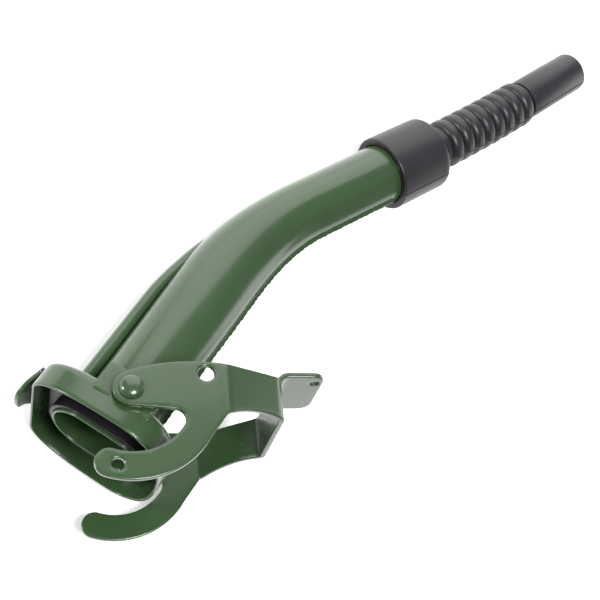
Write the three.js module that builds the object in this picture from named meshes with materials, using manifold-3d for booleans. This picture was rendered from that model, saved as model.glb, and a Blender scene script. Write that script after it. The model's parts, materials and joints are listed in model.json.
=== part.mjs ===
// Clamp-on pouring spout for a steel fuel can: a bent steel tube with a breather pipe, a pressed dish
// that seats on the can's mouth, a folded clamp lever on two rivets, and a flexible rubber end.
//
// Millimetres, +Z up. The spout is drawn lying on its side: the dish axis runs along +X with the can's
// mouth plane at X = 0, the bend lies in the XY plane, and Z runs across the spout, so the shape mirrors
// in Z. At the end the whole spout is turned to the pose in which it comes to rest on a floor.
import * as THREE from 'three';
import { mergeVertices } from 'three/addons/utils/BufferGeometryUtils.js';
import Module from 'manifold-3d';

const wasm = await Module();
wasm.setup();

// ---------- Driving dimensions ----------
const CLEARANCE = 0.3; // between pieces that touch on the real spout
const SHEET = 1.2; // steel of the dish, tube and collar
const PLATE = 2.4; // steel of the lever
const FACETS = 28; // sides of a round section
const PIPE_FACETS = 14; // sides of the breather pipe
const COLLAR_STEPS = 12; // steps round each end of the collar

// Centre line of the tube and hose, measured from the mouth plane.
const BASE_RUN = 100; // straight length before the bend
const BEND_RADIUS = 145;
const BEND_ANGLE = 24.6; // degrees, towards -Y
const OUTLET_RUN = 80; // straight length after the bend, to the end of the sleeve
const BELLOWS_RUN = 72; // flexible length after the sleeve
const BELLOWS_SET = 4.6; // degrees that the bellows lean back at rest
const TIP_RUN = 43; // plain end of the hose

// Dish.
const DISH_DEPTH = 13.5;
const DISH_HALF_WIDTH = 35.2; // across, in Z
const DISH_HEAD = 32; // from the axis to the flat end, in +Y
const DISH_FLAT_HALF = 20; // half of the flat end, in Z
const DISH_FOOT = 31.5; // from the axis to the round end, in -Y
const DISH_SHOULDER = -8; // Y of the widest place
const DISH_EDGE = 3.5; // rounding of the outer edge

// Tube, breather and collar.
const TUBE_BASE_TALL = 17; // half height of the tube's foot, in the bend's plane
const TUBE_BASE_WIDE = 14.5; // half width of the tube's foot, in Z
const TUBE_BELLY = 18; // half height where the bend starts
const TUBE_RADIUS = 15.4; // round at the outlet
const TUBE_IN_SLEEVE = 26; // length of tube inside the rubber sleeve
const SEAM_HEIGHT = 1.6; // weld seam on the inner side of the bend
const SEAM_WIDTH = 1.4;
const VENT_RADIUS = 3.3;
const VENT_WALL = 0.8;
const VENT_RUN = 74; // X at which the breather starts to dive into the tube
const VENT_DIVE = 62; // length over which it dives
const COLLAR_HALF_LENGTH = 22.5; // oval inlet collar, in Y
const COLLAR_HALF_WIDTH = 14; // in Z
const COLLAR_RECESS = 1.8; // rim of the collar below the mouth plane
const GASKET_THICK = 3.2;
const GASKET_LIP = 1.6; // wall of the gasket's lip round the collar
const GASKET_LIP_RECESS = 3.2; // the lip's rim below the mouth plane

// Lever and its rivets.
const PIVOT_X = 14.8;
const PIVOT_Y = -4.2;
const EYE_RADIUS = 7.4;
const EYE_TOP_ANGLE = 52; // degrees, where the cheek's upper edge leaves the eye
const EYE_FOOT_ANGLE = 209.5; // degrees, where the notch leaves it
const CROWN_X = 2.3; // how far the upper edge bows out from a straight line
const CROWN_Y = 5.2;
const CHEEK_GAP = 1.4; // between the dish and a cheek, filled by a washer
const RIVET_RADIUS = 2.6;
const RIVET_FIT = 0.25; // running clearance round the shank
const RIVET_HEAD_RADIUS = 5;
const RIVET_HEAD_HEIGHT = 2.9;
const RIVET_TAIL_RADIUS = 3.6;
const RIVET_TAIL_HEIGHT = 1.2;
const WASHER_RADIUS = 5.6;
const HOOK_CENTRE_X = 12.8; // centre of the two hook arcs
const HOOK_CENTRE_Y = -6;
const HOOK_OUTER = 35.6;
const HOOK_INNER = 24;
const HOOK_TIP_ANGLE = 197; // degrees, centre of the rounded tip
const HOOK_HOLE_ANGLE = 203.5;
const HOOK_HOLE_RADIUS = 2.6;
const NOTCH_RADIUS = 4.3;
const NOTCH_ANGLE = 273; // degrees, where the hook runs into the notch
const NOTCH_EXIT_ANGLE = 29.5; // degrees, where the notch turns back to the eye
const HOOK_ROOT_ANGLE = 275; // degrees, where the hook's outer edge meets the bend line
const CHEEK_HOLE_X = 37.7;
const CHEEK_HOLE_Y = -25.1;
const CHEEK_HOLE_RADIUS = 3.5;
const FOLD_ANGLE = 215.2; // degrees, direction of every fold line
const BEND_TOP_X = 46.1; // upper end of the cheek's bend line
const BEND_TOP_Y = -29.1;
const BEND_LENGTH = 21.7;
const STRIP_SPAN = 26.2; // from the bend line to the bridge, seen from the side
const STRIP_RISE_TOP = 1.7; // how far the strip's edges run outwards over that span
const STRIP_RISE_FOOT = 4;
const STRIP_ARCH = 4.5; // hollow of the strip's lower edge
const BRIDGE_HALF = 22.6; // half width of the bridge, in Z
const TAB_HALF = 17.2;
const TAB_LENGTH = 22.4;
const TAB_RAMP = 4; // length over which the tab rises above the bridge
const TAB_RISE = 3.9;
const TAB_CORNER = 6;
const TAB_HOLE_RADIUS = 2;
const TAB_HOLE_INSET = 3.6; // from the tab's end
const TAB_HOLE_SIDE = 10.5; // from the symmetry plane

// Ears of the dish and rear claw.
const EAR_THICK = 2.2;
const EAR_TOP = 22; // X of the ear's free edge
const EAR_HEAD = 9.5; // Y of the ear's end
const EAR_FOOT = -17;
const CLAW_ROOT_HALF = 16; // half widths of the claw, in Z
const CLAW_TIP_HALF = 7;
const CLAW_REACH = 2; // how far its tip passes the mouth plane
const CLAW_STAND = 6.6; // how far its tip stands off the dish
const CLAW_THICK = 2;

// Rubber.
const SLEEVE_RUN = 31;
const SLEEVE_WALL = 3.4;
const SLEEVE_END_WALL = 3.2;
const CREST_START = 12.8; // radius of the first crest
const CREST_END = 12.4; // radius of the last crest
const CREST_HEIGHT = 2.1;
const CREST_COUNT = 8;
const CREST_LEAD = 9.2; // plain length before the first crest
const CREST_TRAIL = 1.6; // plain length after the last
const LOWER_CRESTS = 3; // crests in the lower length of the bellows
const RING_CRESTS = 2; // crests in the ring between its two lengths
const BORE_RADIUS = 7.6;
const TIP_RADIUS = 11;

// Pose at rest on a floor, found from the hull's resting face.
const REST_ROLL = -26.6; // degrees about X
const REST_PITCH = 10.96; // degrees about Y

// ---------- Derived places ----------
const radians = THREE.MathUtils.degToRad;
const BEND_RUN = BEND_RADIUS * radians(BEND_ANGLE);
const SLEEVE_END = BASE_RUN + BEND_RUN + OUTLET_RUN;
const SLEEVE_START = SLEEVE_END - SLEEVE_RUN;
const TUBE_START = DISH_DEPTH + CLEARANCE;
const TUBE_END = SLEEVE_START + TUBE_IN_SLEEVE;
const SLEEVE_RADIUS = TUBE_RADIUS + CLEARANCE + SLEEVE_WALL;
const TIP_START = SLEEVE_END + BELLOWS_RUN;
const FIRST_TROUGH = SLEEVE_END + CREST_LEAD;
const CREST_PITCH = (BELLOWS_RUN - CREST_LEAD - CREST_TRAIL) / CREST_COUNT;
const LOWER_END = FIRST_TROUGH + LOWER_CRESTS * CREST_PITCH;
const UPPER_START = LOWER_END + RING_CRESTS * CREST_PITCH;
const HOSE_END = TIP_START + TIP_RUN;
const CHEEK_INNER = DISH_HALF_WIDTH + CHEEK_GAP;
const CHEEK_OUTER = CHEEK_INNER + PLATE;
const EAR_OUTER = DISH_HALF_WIDTH - CLEARANCE;
const EAR_INNER = EAR_OUTER - EAR_THICK;
const VENT_OFFSET = TUBE_BASE_TALL + CLEARANCE + VENT_RADIUS;

const PATH = [
    [BASE_RUN, 0],
    [BEND_RUN, -radians(BEND_ANGLE)],
    [OUTLET_RUN, 0],
    [BELLOWS_RUN, radians(BELLOWS_SET)],
    [TIP_RUN, 0],
];

// Point and direction of the centre line at a length from the mouth plane.
function centreLine(length) {
    let x = 0;
    let y = 0;
    let angle = 0;
    let left = length;
    for (const [run, turn] of PATH) {
        const part = Math.min(left, run);
        const swing = turn * part / run;
        const chord = swing === 0 ? part : 2 * (run / turn) * Math.sin(swing / 2);
        x += chord * Math.cos(angle + swing / 2);
        y += chord * Math.sin(angle + swing / 2);
        angle += swing;
        left -= part;
    }
    return { x: x + left * Math.cos(angle), y: y + left * Math.sin(angle), angle };
}

// ---------- Solids ----------
// Turns a geometry's faces outwards, if it is inside out.
function outward(geometry) {
    const bare = geometry.index ? geometry.toNonIndexed() : geometry;
    const p = bare.getAttribute('position');
    const [a, b, c] = [new THREE.Vector3(), new THREE.Vector3(), new THREE.Vector3()];
    let volume = 0;
    for (let i = 0; i < p.count; i += 3) {
        a.fromBufferAttribute(p, i);
        b.fromBufferAttribute(p, i + 1);
        c.fromBufferAttribute(p, i + 2);
        volume += a.dot(b.cross(c));
    }
    if (volume < 0) {
        for (let i = 0; i < p.count; i += 3) {
            a.fromBufferAttribute(p, i + 1);
            b.fromBufferAttribute(p, i + 2);
            p.setXYZ(i + 1, b.x, b.y, b.z);
            p.setXYZ(i + 2, a.x, a.y, a.z);
        }
    }
    return bare;
}

function solid(geometry) {
    const bare = outward(geometry);
    bare.deleteAttribute('normal');
    bare.deleteAttribute('uv');
    const merged = mergeVertices(bare, 1e-4);
    return new wasm.Manifold(new wasm.Mesh({
        numProp: 3,
        vertProperties: new Float32Array(merged.getAttribute('position').array),
        triVerts: new Uint32Array(merged.index.array),
    }));
}

function geometryOf(body) {
    const mesh = body.getMesh();
    const geometry = new THREE.BufferGeometry();
    geometry.setAttribute('position', new THREE.BufferAttribute(new Float32Array(mesh.vertProperties), 3));
    geometry.setIndex(new THREE.BufferAttribute(new Uint32Array(mesh.triVerts), 1));
    geometry.computeVertexNormals();
    return geometry;
}

// Moves every point of a geometry by a rule.
function reshaped(geometry, rule) {
    const p = geometry.getAttribute('position');
    for (let i = 0; i < p.count; i += 1) p.setXYZ(i, ...rule(p.getX(i), p.getY(i), p.getZ(i)));
    return geometry;
}

const mirrored = (geometry) => reshaped(geometry.clone(), (x, y, z) => [x, y, -z]);

function ellipse(tall, wide) {
    return new THREE.Shape().absellipse(0, 0, tall, wide, 0, 2 * Math.PI);
}

function ringShape(tall, wide, wall) {
    const ring = ellipse(tall, wide);
    ring.holes.push(new THREE.Path().absellipse(0, 0, tall - wall, wide - wall, 0, 2 * Math.PI));
    return ring;
}

// A section drawn once and carried along the centre line through the given stations. Its first axis
// lies in the bend's plane and its second along Z; grow(length) scales them.
function carried(section, stations, grow, offset = () => 0, sides = FACETS) {
    const steps = stations.length - 1;
    const raw = new THREE.ExtrudeGeometry(section,
        { depth: 1, steps, bevelEnabled: false, curveSegments: sides / 2 });
    return reshaped(raw, (u, v, t) => {
        const length = stations[Math.round(t * steps)];
        const { x, y, angle } = centreLine(length);
        const [tall, wide] = grow(length);
        const out = u * tall + offset(length);
        return [x - out * Math.sin(angle), y + out * Math.cos(angle), v * wide];
    });
}

function range(start, end, steps) {
    return Array.from({ length: steps + 1 }, (_, i) => start + (end - start) * i / steps);
}

// A turned profile of [radius, length] points, carried along the centre line.
function turned(profile, segments = FACETS) {
    const points = profile.map(([radius, length]) => new THREE.Vector2(radius, length));
    return reshaped(new THREE.LatheGeometry(points, segments), (u, length, w) => {
        const { x, y, angle } = centreLine(length);
        return [x - u * Math.sin(angle), y + u * Math.cos(angle), -w];
    });
}

// A turned profile of [radius, height] points about the rivet axis.
function turnedOnPivot(profile) {
    const points = profile.map(([radius, height]) => new THREE.Vector2(radius, height));
    return reshaped(new THREE.LatheGeometry(points, FACETS), (u, height, w) => (
        [PIVOT_X + u, PIVOT_Y + w, height]));
}

// ---------- Dish ----------
// Outline of the dish in its mouth plane, as X = Z and Y = Y, smaller all round by an inset.
function dishOutline(inset) {
    const wide = DISH_HALF_WIDTH - inset;
    const head = DISH_HEAD - inset;
    const foot = DISH_FOOT - inset;
    const flat = DISH_FLAT_HALF - inset / 2;
    const outline = new THREE.Shape();
    outline.moveTo(-flat, head);
    outline.bezierCurveTo(-0.82 * wide, head - 1, -wide, 0.58 * head, -wide, DISH_SHOULDER);
    outline.bezierCurveTo(-wide, -0.74 * foot, -0.7 * wide, -foot, 0, -foot);
    outline.bezierCurveTo(0.7 * wide, -foot, wide, -0.74 * foot, wide, DISH_SHOULDER);
    outline.bezierCurveTo(wide, 0.58 * head, 0.82 * wide, head - 1, flat, head);
    outline.closePath();
    return outline;
}

// Stands an outline of (Z, Y) up between two values of X.
function standing(outline, from, to, curveSegments = 9) {
    const raw = new THREE.ExtrudeGeometry(outline, { depth: to - from, bevelEnabled: false, curveSegments });
    return reshaped(raw, (z, y, depth) => [from + depth, y, z]);
}

// The dish's skirt and back with a rounded outer edge, filled in.
function dishBlock(inset, from, to, edge) {
    const steps = 4;
    let block = solid(standing(dishOutline(inset), from, to - edge));
    for (let i = 0; i < steps; i += 1) {
        const low = Math.PI / 2 * i / steps;
        const high = Math.PI / 2 * (i + 1) / steps;
        const start = to - edge + edge * Math.sin(low);
        const end = to - edge + edge * Math.sin(high);
        const pull = edge * (1 - Math.cos((low + high) / 2));
        block = block.add(solid(standing(dishOutline(inset + pull), start - 0.01, end)));
    }
    return block;
}

// Upright ear that rises from the dish's side and carries one rivet.
function dishEar() {
    const outline = new THREE.Shape();
    outline.moveTo(DISH_DEPTH - DISH_EDGE, EAR_FOOT);
    outline.lineTo(EAR_TOP, EAR_FOOT);
    outline.lineTo(EAR_TOP, EAR_HEAD);
    outline.lineTo(DISH_DEPTH - DISH_EDGE, EAR_HEAD);
    outline.closePath();
    return new THREE.ExtrudeGeometry(outline, { depth: EAR_THICK, bevelEnabled: false })
        .translate(0, 0, EAR_INNER);
}

// Room for a rivet: its shank's bore, and a pocket for the tail in the dish's back.
function rivetRoom() {
    const bore = RIVET_RADIUS + RIVET_FIT;
    const pocket = RIVET_TAIL_RADIUS + CLEARANCE;
    const floor = EAR_INNER - 2 * CLEARANCE - RIVET_TAIL_HEIGHT;
    return turnedOnPivot([[0, floor], [pocket, floor], [pocket, EAR_INNER], [bore, EAR_INNER],
        [bore, CHEEK_OUTER], [0, CHEEK_OUTER]]);
}

function baseDish() {
    const cavity = dishBlock(SHEET, -1, DISH_DEPTH - SHEET, DISH_EDGE - SHEET);
    const shell = dishBlock(0, 0, DISH_DEPTH, DISH_EDGE)
        .add(solid(dishEar())).add(solid(mirrored(dishEar())))
        .subtract(cavity).subtract(solid(rivetRoom())).subtract(solid(mirrored(rivetRoom())));
    const fuelHole = ellipse(TUBE_BASE_TALL - SHEET, TUBE_BASE_WIDE - SHEET);
    const tubeBore = solid(carried(fuelHole, [0, 2 * DISH_DEPTH], () => [1, 1]));
    const ventHole = ellipse(VENT_RADIUS - VENT_WALL, VENT_RADIUS - VENT_WALL);
    const ventBore = solid(carried(ventHole, [0, 2 * DISH_DEPTH], () => [1, 1], () => VENT_OFFSET,
        PIPE_FACETS));
    return geometryOf(shell.subtract(tubeBore).subtract(ventBore));
}

// Outline with two straight sides and round ends of a radius, as the collar has.
function collarOval(radius) {
    const straight = COLLAR_HALF_LENGTH - COLLAR_HALF_WIDTH;
    const path = new THREE.Shape();
    path.absarc(0, straight, radius, 0, Math.PI);
    path.absarc(0, -straight, radius, Math.PI, 2 * Math.PI);
    path.closePath();
    return path;
}

// Oval neck that reaches into the can's mouth.
function inletCollar() {
    const neck = collarOval(COLLAR_HALF_WIDTH);
    neck.holes.push(collarOval(COLLAR_HALF_WIDTH - SHEET));
    return standing(neck, COLLAR_RECESS, DISH_DEPTH - SHEET - CLEARANCE, COLLAR_STEPS);
}

// Flat rubber ring between the collar and the skirt, against the dish's back, with a lip that stands
// up round the collar.
function sealGasket() {
    const back = DISH_DEPTH - SHEET - CLEARANCE;
    const inset = DISH_EDGE + CLEARANCE;
    const radius = COLLAR_HALF_WIDTH + CLEARANCE;
    const disc = solid(standing(dishOutline(inset), back - GASKET_THICK, back));
    const lip = solid(standing(collarOval(radius + GASKET_LIP), GASKET_LIP_RECESS, back, COLLAR_STEPS));
    const hole = solid(standing(collarOval(radius), 0, DISH_DEPTH, COLLAR_STEPS));
    return geometryOf(disc.add(lip).subtract(hole));
}

// Tapered claw on the flat end of the dish, which hooks behind the can's rear lug.
function rearClaw() {
    const root = DISH_HEAD + CLEARANCE;
    const half = CLAW_THICK / 2;
    const start = DISH_DEPTH - DISH_EDGE;
    const bow = new THREE.CatmullRomCurve3([
        new THREE.Vector3(start, root + half, 0),
        new THREE.Vector3(start * 0.7, root + half + CLAW_STAND * 0.33, 0),
        new THREE.Vector3(start * 0.32, root + half + CLAW_STAND * 0.62, 0),
        new THREE.Vector3(-CLAW_REACH, root - half + CLAW_STAND, 0),
    ]);
    const strip = new THREE.Shape();
    strip.moveTo(-CLAW_ROOT_HALF, -half);
    strip.lineTo(CLAW_ROOT_HALF, -half);
    strip.lineTo(CLAW_ROOT_HALF, half);
    strip.lineTo(-CLAW_ROOT_HALF, half);
    strip.closePath();
    const outline = new THREE.Shape();
    outline.moveTo(2 * start, -CLAW_ROOT_HALF);
    outline.lineTo(2 * start, CLAW_ROOT_HALF);
    outline.lineTo(start, CLAW_ROOT_HALF);
    outline.lineTo(CLAW_REACH, CLAW_TIP_HALF + 1);
    outline.quadraticCurveTo(-CLAW_REACH, CLAW_TIP_HALF, -CLAW_REACH, 0);
    outline.quadraticCurveTo(-CLAW_REACH, -CLAW_TIP_HALF, CLAW_REACH, -CLAW_TIP_HALF - 1);
    outline.lineTo(start, -CLAW_ROOT_HALF);
    outline.closePath();
    const trim = reshaped(
        new THREE.ExtrudeGeometry(outline, { depth: 4 * root, bevelEnabled: false, curveSegments: 6 }),
        (x, z, depth) => [x, depth, z],
    );
    const plateSolid = solid(new THREE.ExtrudeGeometry(strip, { steps: 12, extrudePath: bow }));
    const keepOut = new THREE.BoxGeometry(4 * DISH_DEPTH, 2 * root, 4 * CLAW_ROOT_HALF);
    return geometryOf(plateSolid.intersect(solid(trim)).subtract(solid(keepOut)));
}

// ---------- Tube ----------
const smooth = (from, to, value) => THREE.MathUtils.smoothstep(value, from, to);

// Half height and half width of the tube at a length from the mouth plane.
function tubeSize(length) {
    const bendEnd = BASE_RUN + BEND_RUN;
    const swell = smooth(TUBE_START, BASE_RUN, length);
    const shrink = smooth(BASE_RUN, bendEnd, length);
    const tall = THREE.MathUtils.lerp(TUBE_BASE_TALL, TUBE_BELLY, swell);
    const wide = THREE.MathUtils.lerp(TUBE_BASE_WIDE, TUBE_RADIUS, swell);
    return [THREE.MathUtils.lerp(tall, TUBE_RADIUS, shrink), wide];
}

const TUBE_STATIONS = [
    ...range(TUBE_START, BASE_RUN, 6),
    ...range(BASE_RUN, BASE_RUN + BEND_RUN, 10).slice(1),
    ...range(BASE_RUN + BEND_RUN, TUBE_END, 2).slice(1),
];

function tubeSolid(inset) {
    return solid(carried(ellipse(1, 1), TUBE_STATIONS, (length) => {
        const [tall, wide] = tubeSize(length);
        return [tall - inset, wide - inset];
    }));
}

// Raised seam along the inner side of the bend, which stops short of the sleeve.
function seamSolid() {
    const half = SEAM_WIDTH / 2;
    const section = new THREE.Shape();
    section.moveTo(0, -half);
    section.lineTo(SEAM_HEIGHT + SHEET / 2, -half);
    section.lineTo(SEAM_HEIGHT + SHEET / 2, half);
    section.lineTo(0, half);
    section.closePath();
    const stations = TUBE_STATIONS.filter((length) => length < SLEEVE_START - 2 * SEAM_HEIGHT);
    stations.push(SLEEVE_START - SEAM_HEIGHT);
    const drop = (length) => -tubeSize(length)[0] - SEAM_HEIGHT;
    return solid(carried(section, stations, () => [1, 1], drop));
}

function spoutTube() {
    const bore = solid(carried(ellipse(1, 1), [0, ...TUBE_STATIONS.slice(1, -1), TUBE_END + 5], (length) => {
        const [tall, wide] = tubeSize(length);
        return [tall - SHEET, wide - SHEET];
    }));
    return geometryOf(tubeSolid(0).add(seamSolid()).subtract(bore).subtract(ventBore(VENT_RADIUS - VENT_WALL)));
}

// Offset of the breather from the centre line: beside the tube, then diving into it.
function ventOffset(length) {
    const dive = smooth(VENT_RUN, VENT_RUN + VENT_DIVE, length);
    const sunk = tubeSize(length)[0] - SHEET - CLEARANCE - VENT_RADIUS;
    return THREE.MathUtils.lerp(VENT_OFFSET, sunk, dive);
}

// The breather's run from the dish into the tube, filled to a radius.
const VENT_STATIONS = [...range(TUBE_START, VENT_RUN, 2), ...range(VENT_RUN, VENT_RUN + VENT_DIVE, 8).slice(1)];

function ventBore(radius) {
    const stations = [0, ...VENT_STATIONS.slice(1)];
    return solid(carried(ellipse(radius, radius), stations, () => [1, 1], ventOffset, PIPE_FACETS));
}

// Outer run of the breather pipe, cut off where it meets the tube.
function ventPipe() {
    const pipe = solid(carried(ellipse(VENT_RADIUS, VENT_RADIUS), VENT_STATIONS, () => [1, 1], ventOffset,
        PIPE_FACETS));
    return geometryOf(pipe.subtract(ventBore(VENT_RADIUS - VENT_WALL)).subtract(tubeSolid(-CLEARANCE)));
}

// Inner run of the breather pipe, along the roof of the tube to its outlet.
function innerVentPipe() {
    const start = VENT_RUN + VENT_DIVE + CLEARANCE;
    const stations = [...range(start, BASE_RUN + BEND_RUN, 8), TUBE_END];
    const ring = ringShape(VENT_RADIUS, VENT_RADIUS, VENT_WALL);
    return carried(ring, stations, () => [1, 1], ventOffset, PIPE_FACETS);
}

// ---------- Rivets ----------
function washer() {
    const low = DISH_HALF_WIDTH + CLEARANCE;
    const high = CHEEK_INNER - CLEARANCE;
    const bore = RIVET_RADIUS + RIVET_FIT;
    return turnedOnPivot([[bore, low], [WASHER_RADIUS, low], [WASHER_RADIUS, high], [bore, high], [bore, low]]);
}

// Domed rivet: head outside the cheek, tail inside the ear.
function rivet() {
    const seat = CHEEK_OUTER + CLEARANCE;
    const tail = EAR_INNER - CLEARANCE;
    const steps = 7;
    const dome = range(0, Math.PI / 2, steps).map((angle) => (
        [RIVET_HEAD_RADIUS * Math.cos(angle), seat + 0.6 + (RIVET_HEAD_HEIGHT - 0.6) * Math.sin(angle)]));
    dome[steps][0] = 0;
    return turnedOnPivot([
        [0, tail - RIVET_TAIL_HEIGHT],
        [RIVET_TAIL_RADIUS - 0.8, tail - RIVET_TAIL_HEIGHT],
        [RIVET_TAIL_RADIUS, tail - RIVET_TAIL_HEIGHT / 2],
        [RIVET_TAIL_RADIUS, tail],
        [RIVET_RADIUS, tail],
        [RIVET_RADIUS, seat],
        [RIVET_HEAD_RADIUS, seat],
        ...dome,
    ]);
}

// ---------- Lever ----------
const fold = new THREE.Vector2(Math.cos(radians(FOLD_ANGLE)), Math.sin(radians(FOLD_ANGLE)));
const outwardFold = new THREE.Vector2(-fold.y, fold.x); // away from the pivot, square to the folds
const bendTop = new THREE.Vector2(BEND_TOP_X, BEND_TOP_Y);
const bendFoot = bendTop.clone().addScaledVector(fold, BEND_LENGTH);
const bridgeTop = bendTop.clone().addScaledVector(outwardFold, STRIP_SPAN)
    .addScaledVector(fold, -STRIP_RISE_TOP);
const bridgeFoot = bendFoot.clone().addScaledVector(outwardFold, STRIP_SPAN)
    .addScaledVector(fold, -STRIP_RISE_FOOT);

function polar(centreX, centreY, radius, degrees) {
    return [centreX + radius * Math.cos(radians(degrees)), centreY + radius * Math.sin(radians(degrees))];
}

// One flat cheek: the eye, the upper edge to the bend line, the hook and the notch between them. Only
// the near hook is pierced.
function cheekOutline(pierced) {
    const tipRadius = (HOOK_OUTER - HOOK_INNER) / 2;
    const tip = polar(HOOK_CENTRE_X, HOOK_CENTRE_Y, (HOOK_OUTER + HOOK_INNER) / 2, HOOK_TIP_ANGLE);
    const notch = polar(HOOK_CENTRE_X, HOOK_CENTRE_Y, HOOK_INNER - NOTCH_RADIUS, NOTCH_ANGLE);
    const start = polar(PIVOT_X, PIVOT_Y, EYE_RADIUS, EYE_TOP_ANGLE);
    const outline = new THREE.Shape();
    outline.moveTo(...start);
    const crown = new THREE.Vector2(...start).lerp(bendTop, 0.5).add(new THREE.Vector2(CROWN_X, CROWN_Y));
    outline.quadraticCurveTo(crown.x, crown.y, bendTop.x, bendTop.y);
    outline.lineTo(bendFoot.x, bendFoot.y);
    outline.absarc(HOOK_CENTRE_X, HOOK_CENTRE_Y, HOOK_OUTER, radians(HOOK_ROOT_ANGLE),
        radians(HOOK_TIP_ANGLE), true);
    outline.absarc(...tip, tipRadius, radians(HOOK_TIP_ANGLE), radians(HOOK_TIP_ANGLE - 180), true);
    outline.absarc(HOOK_CENTRE_X, HOOK_CENTRE_Y, HOOK_INNER, radians(HOOK_TIP_ANGLE), radians(NOTCH_ANGLE));
    outline.absarc(...notch, NOTCH_RADIUS, radians(NOTCH_ANGLE - 360), radians(NOTCH_EXIT_ANGLE));
    outline.absarc(PIVOT_X, PIVOT_Y, EYE_RADIUS, radians(EYE_FOOT_ANGLE), radians(EYE_TOP_ANGLE), true);
    const holes = [
        [PIVOT_X, PIVOT_Y, RIVET_RADIUS + RIVET_FIT],
        [CHEEK_HOLE_X, CHEEK_HOLE_Y, CHEEK_HOLE_RADIUS],
    ];
    if (pierced) {
        const middle = (HOOK_OUTER + HOOK_INNER) / 2;
        holes.push([...polar(HOOK_CENTRE_X, HOOK_CENTRE_Y, middle, HOOK_HOLE_ANGLE), HOOK_HOLE_RADIUS]);
    }
    for (const [x, y, radius] of holes) {
        outline.holes.push(new THREE.Path().absarc(x, y, radius, 0, 2 * Math.PI));
    }
    return outline;
}

// Places a plate drawn in (along, across) so that along runs from a point in a direction, across in
// another, and the thickness lies evenly about that plane.
function plate(outline, origin, along, across) {
    const normal = along.clone().cross(across);
    const raw = new THREE.ExtrudeGeometry(outline, { depth: PLATE, bevelEnabled: false, curveSegments: 10 })
        .translate(0, 0, -PLATE / 2);
    const frame = new THREE.Matrix4().makeBasis(along, across, normal).setPosition(origin);
    return raw.applyMatrix4(frame);
}

// Round of metal on a fold line between two plates.
function foldRound(from, to) {
    const axis = to.clone().sub(from);
    const pin = new THREE.CylinderGeometry(PLATE / 2, PLATE / 2, axis.length(), 16);
    pin.applyQuaternion(new THREE.Quaternion().setFromUnitVectors(
        new THREE.Vector3(0, 1, 0), axis.clone().normalize()));
    const middle = from.clone().add(to).multiplyScalar(0.5);
    return pin.translate(middle.x, middle.y, middle.z);
}

const flat = (point, z) => new THREE.Vector3(point.x, point.y, z);

// One cheek with the strip that leads from it to the bridge.
function leverSide(pierced) {
    const cheekMiddle = CHEEK_INNER + PLATE / 2;
    const bridgeMiddle = BRIDGE_HALF - PLATE / 2;
    const cheek = new THREE.ExtrudeGeometry(cheekOutline(pierced),
        { depth: PLATE, bevelEnabled: false, curveSegments: 14 }).translate(0, 0, CHEEK_INNER);
    const along = new THREE.Vector3(outwardFold.x * STRIP_SPAN, outwardFold.y * STRIP_SPAN,
        bridgeMiddle - cheekMiddle);
    const reach = along.length();
    along.normalize();
    const across = new THREE.Vector3(-fold.x, -fold.y, 0);
    const outline = new THREE.Shape();
    outline.moveTo(0, 0);
    outline.quadraticCurveTo(reach / 2, STRIP_RISE_FOOT / 2 + STRIP_ARCH, reach, STRIP_RISE_FOOT);
    outline.lineTo(reach, BEND_LENGTH + STRIP_RISE_TOP);
    outline.lineTo(0, BEND_LENGTH);
    outline.closePath();
    const strip = plate(outline, flat(bendFoot, cheekMiddle), along, across);
    const cheekFold = foldRound(flat(bendTop, cheekMiddle), flat(bendFoot, cheekMiddle));
    const bridgeFold = foldRound(flat(bridgeTop, bridgeMiddle), flat(bridgeFoot, bridgeMiddle));
    return [cheek, strip, cheekFold, bridgeFold];
}

// Thumb tab, folded outwards from the bridge's upper edge and joggled up.
function thumbTab() {
    const outline = new THREE.Shape();
    const end = TAB_LENGTH - TAB_RAMP;
    outline.moveTo(0, -TAB_HALF);
    outline.lineTo(end - TAB_CORNER, -TAB_HALF);
    outline.quadraticCurveTo(end, -TAB_HALF, end, TAB_CORNER - TAB_HALF);
    outline.lineTo(end, TAB_HALF - TAB_CORNER);
    outline.quadraticCurveTo(end, TAB_HALF, end - TAB_CORNER, TAB_HALF);
    outline.lineTo(0, TAB_HALF);
    outline.closePath();
    outline.holes.push(new THREE.Path().absarc(end - TAB_HOLE_INSET, TAB_HOLE_SIDE,
        TAB_HOLE_RADIUS, 0, 2 * Math.PI));
    const ramp = new THREE.Shape();
    const climb = Math.hypot(TAB_RAMP, TAB_RISE);
    ramp.moveTo(0, -TAB_HALF);
    ramp.lineTo(climb, -TAB_HALF);
    ramp.lineTo(climb, TAB_HALF);
    ramp.lineTo(0, TAB_HALF);
    ramp.closePath();
    const across = new THREE.Vector3(0, 0, 1);
    const along = new THREE.Vector3(outwardFold.x, outwardFold.y, 0);
    const step = outwardFold.clone().multiplyScalar(TAB_RAMP).addScaledVector(fold, -TAB_RISE);
    const tabStart = bridgeTop.clone().add(step);
    const slope = flat(step.normalize(), 0);
    return [
        plate(outline, flat(tabStart, 0), along, across),
        plate(ramp, flat(bridgeTop, 0), slope, across),
        foldRound(flat(tabStart, -TAB_HALF), flat(tabStart, TAB_HALF)),
        foldRound(flat(bridgeTop, -TAB_HALF), flat(bridgeTop, TAB_HALF)),
    ];
}

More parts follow.
